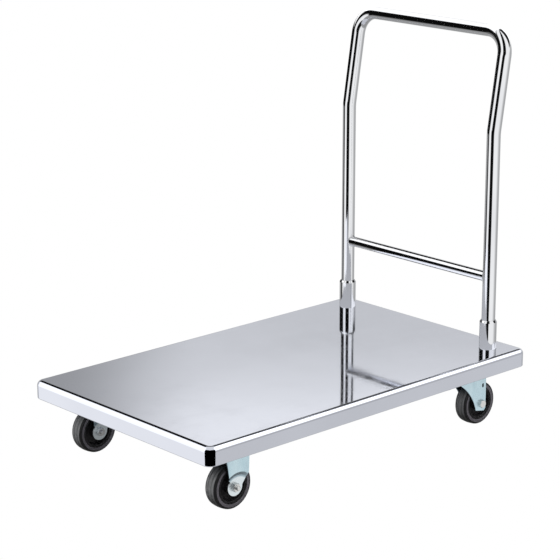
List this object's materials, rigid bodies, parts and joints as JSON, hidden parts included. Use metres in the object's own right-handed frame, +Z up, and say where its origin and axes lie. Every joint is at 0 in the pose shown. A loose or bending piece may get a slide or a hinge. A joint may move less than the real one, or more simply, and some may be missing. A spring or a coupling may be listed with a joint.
{
  "type": "platform luggage cart",
  "caption": "Low luggage cart with a flat sheet deck, a lift-out bent tube push handle, rigid casters at one end and swivel casters at the other.",
  "frame": {"origin": "on the floor under the middle of the deck, between the wheels' lowest points", "axes": "+X along the deck towards the push handle, +Y across the deck to the left, +Z up"},
  "size_m": [0.978, 0.596, 0.9275],
  "materials": {
    "polished_deck": "polished stainless sheet",
    "polished_tube": "bright polished tube",
    "frame_steel": "plain mill finish channel",
    "plug_plastic": "moulded black",
    "tyre_rubber": "grey thermoplastic rubber",
    "wheel_plastic": "moulded black",
    "zinc_pressing": "bright blue zinc plate",
    "zinc_fastener": "zinc plated",
    "bearing_steel": "ground balls"
  },
  "bodies": {
    "deck": {"deck_pan": "polished_deck", "cross_member_front": "frame_steel", "cross_member_middle": "frame_steel", "cross_member_rear": "frame_steel", "caster_bolts": "zinc_fastener", "caster_nuts": "zinc_fastener", "rail_left": "frame_steel", "handle_socket_left": "polished_tube", "socket_seat_left": "frame_steel", "rigid_fork_left": "zinc_pressing", "rigid_axle_bolt_left": "zinc_fastener", "rigid_axle_nut_left": "zinc_fastener", "swivel_plate_left": "zinc_pressing", "kingpin_left": "zinc_fastener", "rail_right": "frame_steel", "handle_socket_right": "polished_tube", "socket_seat_right": "frame_steel", "rigid_fork_right": "zinc_pressing", "rigid_axle_bolt_right": "zinc_fastener", "rigid_axle_nut_right": "zinc_fastener", "swivel_plate_right": "zinc_pressing", "kingpin_right": "zinc_fastener"},
    "handle": {"handle_tube": "polished_tube", "handle_crossbar": "polished_tube", "end_plug_left": "plug_plastic", "end_plug_right": "plug_plastic"},
    "swivel_left": {"swivel_fork_left": "zinc_pressing", "ball_race_left": "bearing_steel", "swivel_axle_bolt_left": "zinc_fastener", "swivel_axle_nut_left": "zinc_fastener"},
    "swivel_right": {"swivel_fork_right": "zinc_pressing", "ball_race_right": "bearing_steel", "swivel_axle_bolt_right": "zinc_fastener", "swivel_axle_nut_right": "zinc_fastener"},
    "wheel_front_left": {"tyre_front_left": "tyre_rubber", "core_front_left": "wheel_plastic", "bushing_front_left": "zinc_fastener"},
    "wheel_front_right": {"tyre_front_right": "tyre_rubber", "core_front_right": "wheel_plastic", "bushing_front_right": "zinc_fastener"},
    "wheel_rear_left": {"tyre_rear_left": "tyre_rubber", "core_rear_left": "wheel_plastic", "bushing_rear_left": "zinc_fastener"},
    "wheel_rear_right": {"tyre_rear_right": "tyre_rubber", "core_rear_right": "wheel_plastic", "bushing_rear_right": "zinc_fastener"}
  },
  "joints": [
    {"name": "handle_lift", "type": "slide", "parent": "deck", "child": "handle", "axis": [0, 0, 1], "range_m": [0, 0.115]},
    {"name": "caster_swivel_left", "type": "hinge", "parent": "deck", "child": "swivel_left", "pos_m": [0.36, 0.228, 0.1205], "axis": [0, 0, 1], "continuous": true},
    {"name": "caster_swivel_right", "type": "hinge", "parent": "deck", "child": "swivel_right", "pos_m": [0.36, -0.228, 0.1205], "axis": [0, 0, 1], "continuous": true},
    {"name": "wheel_roll_front_left", "type": "hinge", "parent": "deck", "child": "wheel_front_left", "pos_m": [-0.378, 0.228, 0.0515], "axis": [0, 1, 0], "continuous": true},
    {"name": "wheel_roll_front_right", "type": "hinge", "parent": "deck", "child": "wheel_front_right", "pos_m": [-0.378, -0.228, 0.0515], "axis": [0, 1, 0], "continuous": true},
    {"name": "wheel_roll_rear_left", "type": "hinge", "parent": "swivel_left", "child": "wheel_rear_left", "pos_m": [0.39, 0.228, 0.0515], "axis": [0, 1, 0], "continuous": true},
    {"name": "wheel_roll_rear_right", "type": "hinge", "parent": "swivel_right", "child": "wheel_rear_right", "pos_m": [0.39, -0.228, 0.0515], "axis": [0, 1, 0], "continuous": true}
  ]
}
